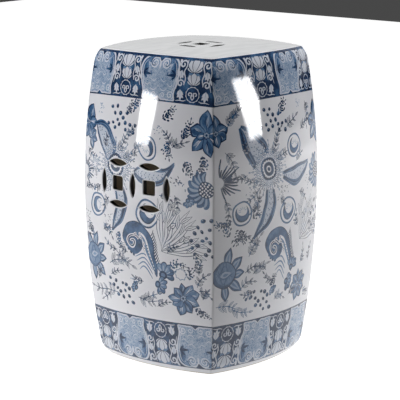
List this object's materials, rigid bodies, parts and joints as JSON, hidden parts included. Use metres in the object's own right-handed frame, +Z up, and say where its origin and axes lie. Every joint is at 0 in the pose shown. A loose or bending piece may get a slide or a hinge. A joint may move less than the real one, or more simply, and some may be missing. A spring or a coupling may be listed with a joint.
{
  "type": "ceramic garden stool",
  "caption": "Square bowed garden stool of glazed stoneware with blue floral decoration, domed seat and pierced coin hand holes.",
  "frame": {"origin": "on the floor, under the middle of the stool, at the bottom of its bounding box", "axes": "+Z up along the height, -Y out of the front panel, which is pierced, +X out of the right-hand panel, which is plain"},
  "size_m": [0.288, 0.288, 0.46],
  "materials": {
    "blue_and_white_glaze": "clear gloss glaze over a cobalt blue underglaze decoration on white slip",
    "white_glaze": "clear gloss glaze on white slip",
    "bare_stoneware": "unglazed fired stoneware, matt and slightly gritty"
  },
  "bodies": {
    "root": {"side_panel_front": "blue_and_white_glaze", "side_panel_right": "blue_and_white_glaze", "side_panel_back": "blue_and_white_glaze", "side_panel_left": "blue_and_white_glaze", "seat_slab": "white_glaze", "base_slab": "bare_stoneware", "seat_lute": "bare_stoneware", "base_lute": "bare_stoneware", "corner_lute_front_right": "bare_stoneware", "corner_lute_back_right": "bare_stoneware", "corner_lute_back_left": "bare_stoneware", "corner_lute_front_left": "bare_stoneware"}
  },
  "joints": []
}
